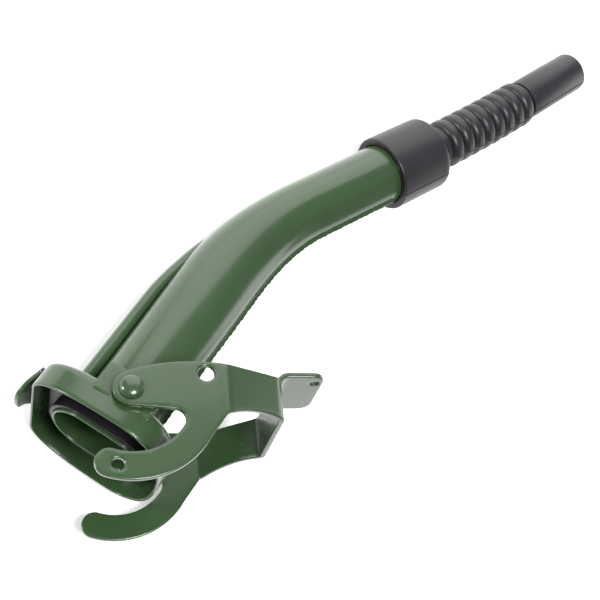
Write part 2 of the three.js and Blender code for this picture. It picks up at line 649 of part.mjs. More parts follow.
function lever() {
    const bridgeMiddle = BRIDGE_HALF - PLATE / 2;
    const outline = new THREE.Shape();
    const width = bridgeTop.distanceTo(bridgeFoot);
    outline.moveTo(0, -bridgeMiddle);
    outline.lineTo(width, -bridgeMiddle);
    outline.lineTo(width, bridgeMiddle);
    outline.lineTo(0, bridgeMiddle);
    outline.closePath();
    const down = new THREE.Vector3(bridgeFoot.x - bridgeTop.x, bridgeFoot.y - bridgeTop.y, 0).normalize();
    const bridge = plate(outline, flat(bridgeTop, 0), down, new THREE.Vector3(0, 0, 1));
    const pieces = [bridge, ...thumbTab(), ...leverSide(true), ...leverSide(false).map(mirrored)];
    return geometryOf(pieces.map(solid).reduce((whole, piece) => whole.add(piece)));
}

// ---------- Rubber ----------
// Place along the pitch and share of the crest's height, from one trough to the next.
const CREST_FORM = [[-0.42, 0], [-0.3, 0.62], [-0.14, 1], [0.14, 1], [0.3, 0.62], [0.42, 0]];

const crestRadius = (length) => (
    THREE.MathUtils.mapLinear(length, SLEEVE_END, TIP_START, CREST_START, CREST_END));

// One length of the bellows with the crests that fall inside it, over a plain bore.
function bellows(start, end) {
    const outer = [[crestRadius(start) - CREST_HEIGHT, start]];
    for (let i = 0; i < CREST_COUNT; i += 1) {
        const middle = FIRST_TROUGH + (i + 0.5) * CREST_PITCH;
        const trough = crestRadius(middle) - CREST_HEIGHT;
        for (const [place, share] of CREST_FORM) {
            const length = middle + place * CREST_PITCH;
            const within = length > start + CLEARANCE && length < end - CLEARANCE;
            if (within) outer.push([trough + share * CREST_HEIGHT, length]);
        }
    }
    outer.push([crestRadius(end) - CREST_HEIGHT, end]);
    return turned([[BORE_RADIUS, start], ...outer, [BORE_RADIUS, end], [BORE_RADIUS, start]], 24);
}

function hoseSleeve() {
    const bore = TUBE_RADIUS + CLEARANCE;
    const shoulder = SLEEVE_END - SLEEVE_END_WALL;
    return turned([
        [bore, SLEEVE_START],
        [SLEEVE_RADIUS - 0.5, SLEEVE_START],
        [SLEEVE_RADIUS, SLEEVE_START + 0.6],
        [SLEEVE_RADIUS - 0.3, SLEEVE_END - 1],
        [SLEEVE_RADIUS - 1.2, SLEEVE_END],
        [BORE_RADIUS, SLEEVE_END],
        [BORE_RADIUS, shoulder],
        [bore, shoulder],
        [bore, SLEEVE_START],
    ]);
}

function hoseTip() {
    const start = TIP_START + CLEARANCE;
    return turned([
        [BORE_RADIUS, start],
        [TIP_RADIUS, start],
        [TIP_RADIUS, HOSE_END - 0.8],
        [TIP_RADIUS - 0.8, HOSE_END],
        [BORE_RADIUS, HOSE_END],
        [BORE_RADIUS, start],
    ]);
}

// ---------- Assembly ----------
const enamel = () => new THREE.MeshStandardMaterial({ color: 0x2f4f2b, roughness: 0.22, metalness: 0.0 });
const rubber = () => new THREE.MeshStandardMaterial({ color: 0x1b1b1d, roughness: 0.75, metalness: 0.0 });

const spout = new THREE.Group();

function part(name, geometry, material) {
    const mesh = new THREE.Mesh(geometryOf(solid(geometry)), material());
    mesh.name = name;
    spout.add(mesh);
}

part('base_dish', baseDish(), enamel);
part('inlet_collar', inletCollar(), enamel);
part('seal_gasket', sealGasket(), rubber);
part('rear_claw', rearClaw(), enamel);
part('spout_tube', spoutTube(), enamel);
part('breather_pipe', ventPipe(), enamel);
part('inner_breather_pipe', innerVentPipe(), enamel);
for (const [side, placed] of [['near', (g) => g], ['far', mirrored]]) {
    part(`${side}_rivet`, placed(rivet()), enamel);
    part(`${side}_washer`, placed(washer()), enamel);
}
part('clamp_lever', lever(), enamel);
part('hose_sleeve', hoseSleeve(), rubber);
part('lower_bellows', bellows(SLEEVE_END + CLEARANCE, LOWER_END), rubber);
part('middle_bellows_ring', bellows(LOWER_END + CLEARANCE, UPPER_START), rubber);
part('upper_bellows', bellows(UPPER_START + CLEARANCE, TIP_START), rubber);
part('hose_tip', hoseTip(), rubber);

const resting = new THREE.Group();
resting.rotation.set(radians(REST_ROLL), radians(REST_PITCH), 0);
resting.add(spout);
resting.updateMatrixWorld(true);
const reach = new THREE.Box3().setFromObject(resting, true);
const middle = reach.getCenter(new THREE.Vector3());
resting.position.set(-middle.x, -middle.y, -reach.min.z);

export default resting;
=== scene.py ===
import json
import math

import bmesh
import bpy
import numpy as np
from mathutils import Matrix, Vector
from mathutils.geometry import delaunay_2d_cdt


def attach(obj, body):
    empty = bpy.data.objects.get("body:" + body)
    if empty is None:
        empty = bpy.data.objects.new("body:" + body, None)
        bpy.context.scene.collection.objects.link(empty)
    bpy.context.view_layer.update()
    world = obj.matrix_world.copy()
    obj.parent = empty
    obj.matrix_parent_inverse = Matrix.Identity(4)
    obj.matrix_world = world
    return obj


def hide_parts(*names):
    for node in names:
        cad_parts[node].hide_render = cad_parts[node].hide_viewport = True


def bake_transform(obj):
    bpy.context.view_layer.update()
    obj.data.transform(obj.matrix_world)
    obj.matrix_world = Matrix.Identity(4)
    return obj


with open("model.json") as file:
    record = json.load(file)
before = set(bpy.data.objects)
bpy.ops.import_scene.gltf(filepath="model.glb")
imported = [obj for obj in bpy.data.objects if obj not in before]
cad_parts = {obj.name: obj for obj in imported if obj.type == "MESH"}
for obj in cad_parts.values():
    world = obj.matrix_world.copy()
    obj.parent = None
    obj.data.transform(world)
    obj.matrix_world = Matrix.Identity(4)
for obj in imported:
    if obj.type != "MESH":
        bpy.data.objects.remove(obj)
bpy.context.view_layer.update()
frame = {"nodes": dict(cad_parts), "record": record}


# ---------- How the spout lies ----------
# A bent steel pouring spout that clamps onto a fuel can. It is described in its own axes, in
# millimetres: +X out of the can along the dish's axis, the bend in XY, Z across. The whole is then
# turned to the way it lies on a floor, on the dish's rim, one rivet and the rubber sleeve.
PIVOT = np.array([14.8, -4.2, 0.0])
REST_ROLL = math.radians(-26.6)
REST_PITCH = math.radians(10.96)
turn = np.array(Matrix.Rotation(REST_ROLL, 3, "X") @ Matrix.Rotation(REST_PITCH, 3, "Y"))
hinge = next(j for j in frame["record"]["behaviour"]["joints"] if j["name"] == "lever_hinge")
shift = np.array(hinge["pos_m"]) * 1000 - turn @ PIVOT


def lying(points):
    """Own millimetres to the frame's metres: turn every point, add the shift, divide by 1000."""
    return (np.asarray(points, float) @ turn.T + shift) / 1000


# ---------- Camera ----------
# A long lens above and to one side of the dish, tilted so that the spout runs up the picture.
lens = bpy.data.cameras.new("camera")
lens.lens = 68.74
lens.sensor_width = 36
lens.clip_start = 0.01
look = turn @ np.array([0.52808, 0.07500, -0.84588])
top = turn @ np.array([0.69873, 0.52772, 0.48301])
side = np.cross(look, top)
eye = lying([[-167.75, -76.21, 453.08]])[0]
camera = bpy.data.objects.new("camera", lens)
placed = np.column_stack([side, top, -look, eye])
camera.matrix_world = Matrix(np.vstack([placed, (0, 0, 0, 1)]).tolist())
bpy.context.collection.objects.link(camera)
bpy.context.scene.camera = camera


# ---------- Floor and light ----------
# A plain pale studio floor under a white room, with soft boxes that the enamel can mirror.
def linear(colour):
    """sRGB hex to linear: c / 12.92 below 0.04045, else ((c + 0.055) / 1.055) to the power 2.4."""
    channels = [int(colour[i:i + 2], 16) / 255 for i in (1, 3, 5)]
    return tuple(c / 12.92 if c <= 0.04045 else ((c + 0.055) / 1.055) ** 2.4 for c in channels) + (1.0,)


def add(tree, kind, inputs=(), **settings):
    """Adds one node with its settings; each input is a value or another node's output."""
    made = tree.nodes.new(kind)
    for name, value in settings.items():
        setattr(made, name, value)
    for name, value in dict(inputs).items():
        if isinstance(value, bpy.types.NodeSocket):
            tree.links.new(value, made.inputs[name])
        else:
            made.inputs[name].default_value = value
    return made


def finish_material(name, build):
    """A new material whose surface is the shader that build(tree) returns."""
    material = bpy.data.materials.new(name)
    material.use_nodes = True
    tree = material.node_tree
    tree.nodes.clear()
    shader = build(tree)
    add(tree, "ShaderNodeOutputMaterial", {"Surface": shader.outputs[0]})
    return material


def floor_paper(tree):
    # Matt white paper, lit a little from below so that shadows on it stay faint.
    return add(tree, "ShaderNodeBsdfPrincipled", {
        "Base Color": linear("#f7f7f6"), "Roughness": 0.9,
        "Emission Color": linear("#ffffff"), "Emission Strength": 0.3})


FLOOR_HALF = 12.0
floor_corners = FLOOR_HALF * np.array([(-1, -1, 0), (1, -1, 0), (1, 1, 0), (-1, 1, 0)])
floor_mesh = bpy.data.meshes.new("studio_floor")
floor_mesh.from_pydata(floor_corners.tolist(), [], [(0, 1, 2, 3)])
floor = bpy.data.objects.new("studio_floor", floor_mesh)
floor_mesh.materials.append(finish_material("white_paper_floor", floor_paper))
bpy.context.collection.objects.link(floor)

room = bpy.data.worlds.new("white_room")
room.use_nodes = True
sky = room.node_tree.nodes["Background"]
sky.inputs["Color"].default_value = linear("#ffffff")
sky.inputs["Strength"].default_value = 0.32
bpy.context.scene.world = room
bpy.context.scene.view_settings.view_transform = "Standard"

# Soft boxes as (name, place, aim, width, height, power), in metres and watts. A wide panel and a low
# front panel stand on the floor, a small lamp hangs over the spout and another shines along the floor.
SOFT_BOXES = [
    ("wide_panel", (1.04, 0.64, 0.6), (0.0, 0.0, 0.37), 1.6, 1.2, 15.5),
    ("top_lamp", (-0.14, 0.07, 1.4), (0.0, 0.0, 0.04), 0.4, 0.4, 26),
    ("low_lamp", (-0.44, 1.12, 0.4), (0.0, 0.0, 0.04), 0.24, 0.24, 9),
    ("front_panel", (0.68, -0.87, 0.24), (0.0, 0.0, 0.1), 0.8, 0.48, 3.4),
]
for name, place, aim, width, height, power in SOFT_BOXES:
    lamp = bpy.data.lights.new(name, "AREA")
    lamp.shape = "RECTANGLE"
    lamp.size = width
    lamp.size_y = height
    lamp.energy = power
    box = bpy.data.objects.new(name, lamp)
    heading = (Vector(aim) - Vector(place)).to_track_quat("-Z", "Y")
    box.matrix_world = Matrix.Translation(place) @ heading.to_matrix().to_4x4()
    bpy.context.collection.objects.link(box)


# ---------- Bent tube ----------
# Drawn steel tube, oval at its foot and round at its end, bent once towards the lever's side. It is
# welded along the inside of the bend and stove enamelled in dark green.
GAP = 0.3  # between pieces that touch on the real spout
SHEET = 1.2  # steel of dish, tube and collar
DISH_DEPTH = 13.5
BEND_START = 100.0
BEND_RADIUS = 145.0
BEND = math.radians(24.6)
OUTLET_RUN = 80.0  # straight length from the bend to the sleeve's end
SLEEVE_RUN = 31.0
BELLOWS_RUN = 72.0
BELLOWS_SET = math.radians(4.6)
TIP_RUN = 43.0
TUBE_START = DISH_DEPTH + GAP
BEND_END = BEND_START + BEND_RADIUS * BEND
SLEEVE_END = BEND_END + OUTLET_RUN
SLEEVE_START = SLEEVE_END - SLEEVE_RUN
TIP_START = SLEEVE_END + BELLOWS_RUN
TIP_END = TIP_START + TIP_RUN
RUNS = [(BEND_START, 0.0), (BEND_RADIUS * BEND, -BEND), (OUTLET_RUN, 0.0), (BELLOWS_RUN, BELLOWS_SET),
        (TIP_RUN, 0.0)]
FOOT_TALL, FOOT_WIDE = 17.0, 14.5  # half sizes of the tube's foot, in the bend's plane and across
BELLY_TALL = 18.0  # half height where the bend starts
TUBE_RADIUS = 15.4
TUBE_IN_SLEEVE = 26.0
SEAM_HEIGHT, SEAM_HALF = 1.5, 0.85
SEAM_RADIUS = 16.5  # turns an angle round the tube into a distance from the seam


def centre_line(length):
    """Point and heading at a length: each run adds a chord of run x sin(swing / 2) / (swing / 2)."""
    left = np.array(length, float)
    x, y, heading = np.zeros_like(left), np.zeros_like(left), np.zeros_like(left)
    for run, swing in RUNS:
        part = np.clip(left, 0, run)
        turned = swing * part / run
        chord = part * np.sinc(turned / (2 * np.pi))
        x = x + chord * np.cos(heading + turned / 2)
        y = y + chord * np.sin(heading + turned / 2)
        heading = heading + turned
        left = left - part
    return x + left * np.cos(heading), y + left * np.sin(heading), heading


def along(length, out, across):
    """Places points at a length on the centre line, moved out in the bend's plane and across in Z."""
    x, y, heading = centre_line(length)
    return np.stack([x - out * np.sin(heading), y + out * np.cos(heading), across + 0 * x], -1)


def skin(name, grid, material, body, replaced=(), rows_closed=True):
    """A grid [row, column, xyz] as quads. Columns close into a ring; rows close or end in a point."""
    rows, columns = grid.shape[:2]
    index = np.arange(rows * columns).reshape(rows, columns)
    upper = np.roll(index, -1, 0) if rows_closed else index[1:]
    lower = index if rows_closed else index[:-1]
    quads = np.stack([lower, np.roll(lower, -1, 1), np.roll(upper, -1, 1), upper], -1).reshape(-1, 4)
    mesh = bpy.data.meshes.new(name)
    mesh.from_pydata(lying(grid.reshape(-1, 3)).tolist(), [], quads.tolist())
    return finished(name, mesh, material, body, replaced)


def finished(name, mesh, material, body, replaced=()):
    """Merges doubles, points the faces outwards, smooths all but sharp edges and names the piece."""
    work = bmesh.new()
    work.from_mesh(mesh)
    bmesh.ops.remove_doubles(work, verts=work.verts, dist=1e-7)
    bmesh.ops.recalc_face_normals(work, faces=work.faces)
    work.to_mesh(mesh)
    work.free()
    mesh.shade_smooth()
    mesh.set_sharp_from_angle(angle=math.radians(40))
    mesh.materials.append(material)
    piece = bpy.data.objects.new(name, mesh)
    bpy.context.collection.objects.link(piece)
    if body:
        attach(piece, body)
    if replaced:
        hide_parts(*replaced)
    return piece


def green_enamel(tree):
    # Stove enamel sprayed over pressed steel: glossy, with a fine orange peel over slow waves.
    place = add(tree, "ShaderNodeTexCoord").outputs["Object"]
    # Cloudy thickness of the coat, about 40 mm across.
    cloud = add(tree, "ShaderNodeTexNoise", {"Vector": place, "Scale": 25.0, "Detail": 3.0})
    tint = add(tree, "ShaderNodeMix", {"Factor": cloud.outputs["Fac"], "A": linear("#24381f"),
                                       "B": linear("#2b4226")}, data_type="RGBA")
    # Orange peel, about 1.6 mm from hollow to hollow.
    peel = add(tree, "ShaderNodeTexNoise", {"Vector": place, "Scale": 620.0, "Detail": 2.0})
    # Slow waves that the press leaves in the sheet, about 14 mm.
    wave = add(tree, "ShaderNodeTexNoise", {"Vector": place, "Scale": 70.0, "Detail": 1.0})
    gloss = add(tree, "ShaderNodeMapRange", {"Value": wave.outputs["Fac"], "To Min": 0.22, "To Max": 0.3})
    slow = add(tree, "ShaderNodeBump", {"Height": wave.outputs["Fac"], "Strength": 0.12, "Distance": 0.0004})
    fine = add(tree, "ShaderNodeBump", {"Height": peel.outputs["Fac"], "Strength": 0.07, "Distance": 0.0001,
                                        "Normal": slow.outputs[0]})
    return add(tree, "ShaderNodeBsdfPrincipled", {
        "Base Color": tint.outputs["Result"], "Roughness": gloss.outputs[0], "Normal": fine.outputs[0],
        "IOR": 1.5, "Coat Weight": 0.25, "Coat Roughness": 0.08})


enamel = finish_material("stove_enamel_on_steel", green_enamel)


def eased(start, end, value):
    """Smooth step: 3 t^2 - 2 t^3 of the clamped share of the way from start to end."""
    t = np.clip((value - start) / (end - start), 0, 1)
    return t * t * (3 - 2 * t)


def tube_size(length):
    """Half height and half width: oval at the foot, fuller where the bend starts, round after it."""
    swell = eased(TUBE_START, BEND_START, length)
    shrink = eased(BEND_START, BEND_END, length)
    tall = FOOT_TALL + (BELLY_TALL - FOOT_TALL) * swell
    return tall + (TUBE_RADIUS - tall) * shrink, FOOT_WIDE + (TUBE_RADIUS - FOOT_WIDE) * swell


def weld_seam(angle, length):
    """Height of the bead on the inside of the bend: exp(-(distance / half width) to the power 4) across
    it, with slow ripples along, faded in at the foot and out before the sleeve."""
    distance = SEAM_RADIUS * np.arctan2(-np.sin(angle), -np.cos(angle))
    start = eased(TUBE_START, TUBE_START + 4, length)
    end = 1 - eased(SLEEVE_START - 5, SLEEVE_START - 2, length)
    ripple = 1 + 0.1 * np.sin(length * 1.9) + 0.06 * np.sin(length * 0.7 + 1)
    return SEAM_HEIGHT * start * end * ripple * np.exp(-(distance / SEAM_HALF) ** 4)


def tube_surface():
    """Rows run up the outside, round the cut end and back down the bore. Columns run round the tube,
    close together at the seam."""
    even = np.linspace(-np.pi, np.pi, 144, endpoint=False)
    near_seam = 0.13
    close = np.pi + np.linspace(-near_seam, near_seam, 27)
    close -= 2 * np.pi * (close > np.pi)
    turns = np.sort(np.concatenate([even[np.abs(even) < np.pi - near_seam - 0.005], close]))
    outside = np.linspace(TUBE_START - 0.2, SLEEVE_START + TUBE_IN_SLEEVE, 260)
    lip = np.linspace(0, np.pi, 7)[1:-1]
    lengths = np.concatenate([outside, outside[-1] + SHEET / 2 * np.sin(lip), outside[::-1]])
    walls = np.concatenate([0 * outside, SHEET / 2 * (1 - np.cos(lip)), SHEET + 0 * outside])
    bead = np.concatenate([1 + 0 * outside, 0 * lip, 0 * outside])
    tall, wide = tube_size(lengths)
    seam = weld_seam(turns[None, :], lengths[:, None]) * bead[:, None]
    out = (tall - walls)[:, None] * np.cos(turns) * (1 + seam / FOOT_TALL)
    across = (wide - walls)[:, None] * np.sin(turns)
    return along(lengths[:, None], out, across)


skin("bent_tube", tube_surface(), enamel, "spout", ["spout_tube"])


# ---------- Breather ----------
# A thin steel pipe that lets air back into the can. It leaves the dish beside the tube, dives into
# the tube's back where the bend starts and goes on inside to the outlet; both ends are brazed.
VENT_RADIUS = 3.3
VENT_BORE = 2.5
VENT_RUN, VENT_DIVE = 74.0, 62.0  # where it starts to dive into the tube, and over what length


def breather_offset(length):
    """Distance from the centre line: beside the tube at first, then eased into its roof."""
    beside = FOOT_TALL + GAP + VENT_RADIUS
    sunk = tube_size(length)[0] - SHEET - GAP - VENT_RADIUS
    return beside + (sunk - beside) * eased(VENT_RUN, VENT_RUN + VENT_DIVE, length)


def pipe_surface(lengths):
    """A round pipe carried beside the centre line, with its bore; rows go out and back."""
    turns = np.linspace(0, 2 * np.pi, 48, endpoint=False)
    there = np.concatenate([lengths, lengths[::-1]])
    radii = np.concatenate([VENT_RADIUS + 0 * lengths, VENT_BORE + 0 * lengths])
    out = breather_offset(there)[:, None] + radii[:, None] * np.cos(turns)
    return along(there[:, None], out, radii[:, None] * np.sin(turns))


breather_run = np.linspace(DISH_DEPTH - 0.1, VENT_RUN + VENT_DIVE - 12, 120)
skin("breather_pipe_outer", pipe_surface(breather_run), enamel, "spout", ["breather_pipe"])


# ---------- Weld beads ----------
# Tube and breather stand on the dish's back in a hand-run fillet weld, painted over with the rest.
def weld_bead(centre, tall, wide, size, waves):
    """A section of seven corners carried round an ellipse. Its size swells with the angle a by
    1 + 0.14 sin(waves x a) + 0.08 sin(3 a + 1)."""
    turns = np.linspace(0, 2 * np.pi, 6 * waves, endpoint=False)
    swell = size * (1 + 0.14 * np.sin(waves * turns) + 0.08 * np.sin(3 * turns + 1))
    section = np.array([(-0.4, -0.4), (-0.4, 1.05), (0.05, 1.0), (0.5, 0.62), (0.72, 0.42), (1.0, 0.05),
                        (1.05, -0.4)])
    out, up = section[:, 0:1] * swell, section[:, 1:2] * swell
    return along(DISH_DEPTH + up, centre + (tall + out) * np.cos(turns), (wide + out) * np.sin(turns))


skin("tube_weld", weld_bead(0, FOOT_TALL, FOOT_WIDE, 2.0, 46), enamel, "spout")
breather_foot = breather_offset(DISH_DEPTH)
skin("breather_weld", weld_bead(breather_foot, VENT_RADIUS, VENT_RADIUS, 1.1, 16), enamel, "spout")


# ---------- Pressed dish ----------
# A deep-drawn steel dish that covers the can's mouth: flat at the head, round at the foot, with a
# rounded shoulder and a bare cut rim. The tube's foot and the breather are welded into its back.
def bezier(points, count):
    """Cubic Bezier through four points, without its last point."""
    t = np.linspace(0, 1, count, endpoint=False)[:, None]
    p = np.asarray(points, float)
    return (1 - t) ** 3 * p[0] + 3 * (1 - t) ** 2 * t * p[1] + 3 * (1 - t) * t ** 2 * p[2] + t ** 3 * p[3]


DISH_HALF_WIDTH = 35.2
DISH_HEAD, DISH_FOOT = 32.0, 31.5  # from the axis to the flat end and to the round end
DISH_FLAT_HALF = 20.0
DISH_WIDEST = -8.0  # Y of the widest place
DISH_EDGE = 3.5
BORE_WIDE, BORE_TALL = FOOT_WIDE - SHEET, FOOT_TALL - SHEET


def dish_outline(inset):
    """The dish's outline in (Z, Y), closed by five curves, smaller all round by an inset."""
    wide, head, foot = DISH_HALF_WIDTH - inset, DISH_HEAD - inset, DISH_FOOT - inset
    flat = DISH_FLAT_HALF - inset / 2
    third = flat - 2.2
    upper = [(-flat, head), (-0.82 * wide, head - 1), (-wide, 0.58 * head), (-wide, DISH_WIDEST)]
    lower = [(-wide, DISH_WIDEST), (-wide, -0.74 * foot), (-0.7 * wide, -foot), (0, -foot)]
    across = [(flat, head), (third, head + 0.03), (-third, head + 0.03), (-flat, head)]
    other = [[(-z, y) for z, y in curve[::-1]] for curve in (lower, upper)]
    return np.concatenate([bezier(upper, 60), bezier(lower, 60), bezier(other[0], 60), bezier(other[1], 60),
                           bezier(across, 40)])


def dish_surface():
    """Rows run from the rim up the skirt, over the shoulder, in to the tube's bore and back inside."""
    corner = np.linspace(0, np.pi / 2, 9)
    rim = np.linspace(0, np.pi, 7)
    shoulder = DISH_DEPTH - DISH_EDGE
    inner_edge = DISH_EDGE - SHEET
    rows = []

    def row(inset, x, share=0.0):
        edge = dish_outline(inset)
        angle = np.arctan2(edge[:, 1], edge[:, 0])
        bore = np.stack([BORE_WIDE * np.cos(angle), BORE_TALL * np.sin(angle)], 1)
        flat = edge + (bore - edge) * share
        rows.append(np.stack([x + 0 * angle, flat[:, 1], flat[:, 0]], 1))

    for x in np.linspace(SHEET / 2, shoulder, 8):
        row(0, x)
    for a in corner[1:]:
        row(DISH_EDGE * (1 - np.cos(a)), shoulder + DISH_EDGE * np.sin(a))
    for share in np.linspace(0.12, 1, 9):
        row(DISH_EDGE, DISH_DEPTH, share)
    for share in np.linspace(1, 0, 10):
        row(DISH_EDGE, DISH_DEPTH - SHEET, share)
    for a in corner[::-1][1:]:
        row(SHEET + inner_edge * (1 - np.cos(a)), shoulder + inner_edge * np.sin(a))
    for x in np.linspace(shoulder, SHEET / 2, 8)[1:]:
        row(SHEET, x)
    for a in rim[1:-1]:
        row(SHEET / 2 * (1 + np.cos(a)), SHEET / 2 * (1 - np.sin(a)))
    return np.array(rows)


skin("pressed_dish", dish_surface(), enamel, "spout", ["base_dish"])


# ---------- Sheet pieces ----------
# Ears, claw and lever are cut from flat plate, deburred round every edge and then folded.
def resampled(points, spacing):
    """Points at even steps along a closed line."""
    loop = np.vstack([points, points[:1]])
    run = np.concatenate([[0], np.cumsum(np.hypot(*np.diff(loop, axis=0).T))])
    steps = max(12, int(run[-1] / spacing))
    at = np.linspace(0, run[-1], steps, endpoint=False)
    return np.stack([np.interp(at, run, loop[:, 0]), np.interp(at, run, loop[:, 1])], 1)


def inside(points, loops):
    """Even-odd test: a point is inside if a ray to the right crosses the loops an odd number of times."""
    count = np.zeros(len(points), int)
    for loop in loops:
        a, b = loop, np.roll(loop, -1, 0)
        y = points[:, 1:2]
        spans = (a[:, 1] > y) != (b[:, 1] > y)
        rise = np.where(b[:, 1] == a[:, 1], 1e-12, b[:, 1] - a[:, 1])
        cross = a[:, 0] + (y - a[:, 1]) * (b[:, 0] - a[:, 0]) / rise
        count += (spans & (points[:, 0:1] < cross)).sum(1)
    return count % 2 == 1


def area(loop):
    """Signed area of a closed line, positive when it runs anticlockwise."""
    after = np.roll(loop, -1, 0)
    return (loop[:, 0] * after[:, 1] - after[:, 0] * loop[:, 1]).sum() / 2


def inward_of(loop):
    """Unit vectors that point into the plate, square to the line through each point's neighbours."""
    way = np.roll(loop, -1, 0) - np.roll(loop, 1, 0)
    way /= np.maximum(np.hypot(*way.T), 1e-9)[:, None]
    return np.stack([-way[:, 1], way[:, 0]], 1)


def filled_face(face_loops, low, high, spacing):
    """Flat triangles between loops: a lattice of points over a span, joined to the loops by a net."""
    (low_x, low_y), (high_x, high_y) = low, high
    rim = np.vstack(face_loops)
    step = spacing * 1.6
    lattice = np.stack(np.meshgrid(np.arange(low_x, high_x, step), np.arange(low_y, high_y, step)), -1)
    lattice = lattice.reshape(-1, 2)
    lattice = lattice[inside(lattice, face_loops)]
    distance = np.hypot(*(lattice[:, None] - rim[None]).transpose(2, 0, 1)).min(1)
    points = np.vstack([rim, lattice[distance > spacing * 0.7]])
    ties, start = [], 0
    for loop in face_loops:
        ring = np.arange(start, start + len(loop))
        ties += np.stack([ring, np.roll(ring, -1)], 1).tolist()
        start += len(loop)
    net = delaunay_2d_cdt([Vector(p) for p in points], ties, [], 0, 1e-6)
    flat = np.array([tuple(v) for v in net[0]])
    faces = np.array([f for f in net[2] if len(f) == 3])
    return flat, faces[inside(flat[faces].mean(1), face_loops)]


def sheet_piece(name, outline, holes, place, thick, edge, spacing, body, replaced=()):
    """A plate: its outline moves in by edge (1 - sin a) at height thick / 2 - edge (1 - cos a) round each
    edge, the flat faces are filled with even triangles, and place(s, b, h) folds it."""
    loops = [resampled(np.asarray(outline, float), spacing)]
    loops += [resampled(np.asarray(hole, float), spacing / 2) for hole in holes]
    loops = [loop if (area(loop) > 0) == (i == 0) else loop[::-1] for i, loop in enumerate(loops)]
    inward = [inward_of(loop) for loop in loops]
    outer = np.vstack(loops)
    face_loops = [loop + edge * n for loop, n in zip(loops, inward)]
    flat, faces = filled_face(face_loops, outer.min(0), outer.max(0), spacing)
    corner = np.linspace(0, np.pi / 2, 5)
    insets = np.concatenate([edge * (1 - np.sin(corner[1:])), edge * (1 - np.sin(corner[::-1][:-1]))])
    drops = edge * (1 - np.cos(corner[1:]))
    heights = np.concatenate([thick / 2 - drops, drops[::-1] - thick / 2])
    rim = outer[None] + insets[:, None, None] * np.vstack(inward)[None]
    count, ring_count = len(flat), len(outer)
    points = np.vstack([flat, flat, rim.reshape(-1, 2)])
    sides = np.repeat([thick / 2, -thick / 2], count)
    height = np.concatenate([sides, np.repeat(heights, ring_count)])
    ring = np.arange(ring_count)
    levels = [ring, *(2 * count + k * ring_count + ring for k in range(len(heights))), count + ring]
    starts = np.cumsum([0] + [len(loop) for loop in loops])
    after = np.concatenate([np.roll(np.arange(a, b), -1) for a, b in zip(starts[:-1], starts[1:])])
    polygons = faces.tolist() + (count + faces[:, ::-1]).tolist()
    for upper, lower in zip(levels[:-1], levels[1:]):
        polygons += np.stack([upper, lower, lower[after], upper[after]], 1).tolist()
    mesh = bpy.data.meshes.new(name)
    mesh.from_pydata(lying(place(points[:, 0], points[:, 1], height)).tolist(), [], polygons)
    return finished(name, mesh, enamel, body, replaced)


def arc(centre, radius, start, end, count=60):
    """Points on a circle from one angle to another, in degrees."""
    a = np.radians(np.linspace(start, end, count))
    return np.stack([centre[0] + radius * np.cos(a), centre[1] + radius * np.sin(a)], 1)


def rounded(corners, radius):
    """A closed line through the corners with each one rounded by a quadratic curve."""
    corners = np.asarray(corners, float)
    pieces = []
    for before, at, after in zip(np.roll(corners, 1, 0), corners, np.roll(corners, -1, 0)):
        start = at + radius * (before - at) / np.hypot(*(before - at))
        end = at + radius * (after - at) / np.hypot(*(after - at))
        t = np.linspace(0, 1, 10)[:, None]
        pieces.append((1 - t) ** 2 * start + 2 * (1 - t) * t * at + t ** 2 * end)
    return np.vstack(pieces)


# ---------- Ears ----------
# Two upright ears, welded against the dish's sides, that carry the rivets.
EAR_THICK = 2.2
EAR_ROOT, EAR_TOP = 8.0, 22.0  # along X: sunk in the dish, and the free edge
EAR_FOOT, EAR_HEAD = -17.0, 9.5  # along Y
EAR_MIDDLE = DISH_HALF_WIDTH - GAP - EAR_THICK / 2
ear_outline = rounded([(EAR_ROOT, EAR_FOOT), (EAR_TOP, EAR_FOOT), (EAR_TOP, EAR_HEAD),
                       (EAR_ROOT, EAR_HEAD)], 1.5)
SIDES = ((1, "near"), (-1, "far"))
for sign, side_name in SIDES:
    sheet_piece(f"{side_name}_ear", ear_outline, [],
                lambda s, b, h, sign=sign: np.stack([s, b, sign * (EAR_MIDDLE + h)], 1),
                EAR_THICK, 0.35, 1.0, "spout")


# ---------- Rear claw ----------
# A broad tongue of plate welded to the dish's flat head, which bows out and hooks under the can's
# rear lug. It narrows to a rounded tip.
CLAW_LINE = np.array([(11.6, 33.4), (10, 33.6), (7, 35.5), (3.2, 37.4), (-2, 37.9)])


def bent_line(corners, radius, count=24):
    """A line through corners with each inner corner turned by an arc-like curve, as dense points."""
    corners = np.asarray(corners, float)
    pieces = [corners[:1]]
    for before, at, after in zip(corners[:-2], corners[1:-1], corners[2:]):
        back = min(radius, np.hypot(*(before - at)) / 2)
        ahead = min(radius, np.hypot(*(after - at)) / 2)
        start = at + back * (before - at) / np.hypot(*(before - at))
        end = at + ahead * (after - at) / np.hypot(*(after - at))
        t = np.linspace(0, 1, count)[:, None]
        pieces.append((1 - t) ** 2 * start + 2 * (1 - t) * t * at + t ** 2 * end)
    pieces.append(corners[-1:])
    line = np.vstack(pieces)
    run = np.concatenate([[0], np.cumsum(np.hypot(*np.diff(line, axis=0).T))])
    even = np.linspace(0, run[-1], 1200)
    line = np.stack([np.interp(even, run, line[:, 0]), np.interp(even, run, line[:, 1])], 1)
    way = np.gradient(line, axis=0)
    way /= np.hypot(*way.T)[:, None]
    return even, line, np.stack([-way[:, 1], way[:, 0]], 1)


def on_line(bent, s, h):
    """The point at run s along a bent line, moved h along its normal."""
    run, line, normal = bent
    return [np.interp(s, run, line[:, k]) + h * np.interp(s, run, normal[:, k]) for k in (0, 1)]


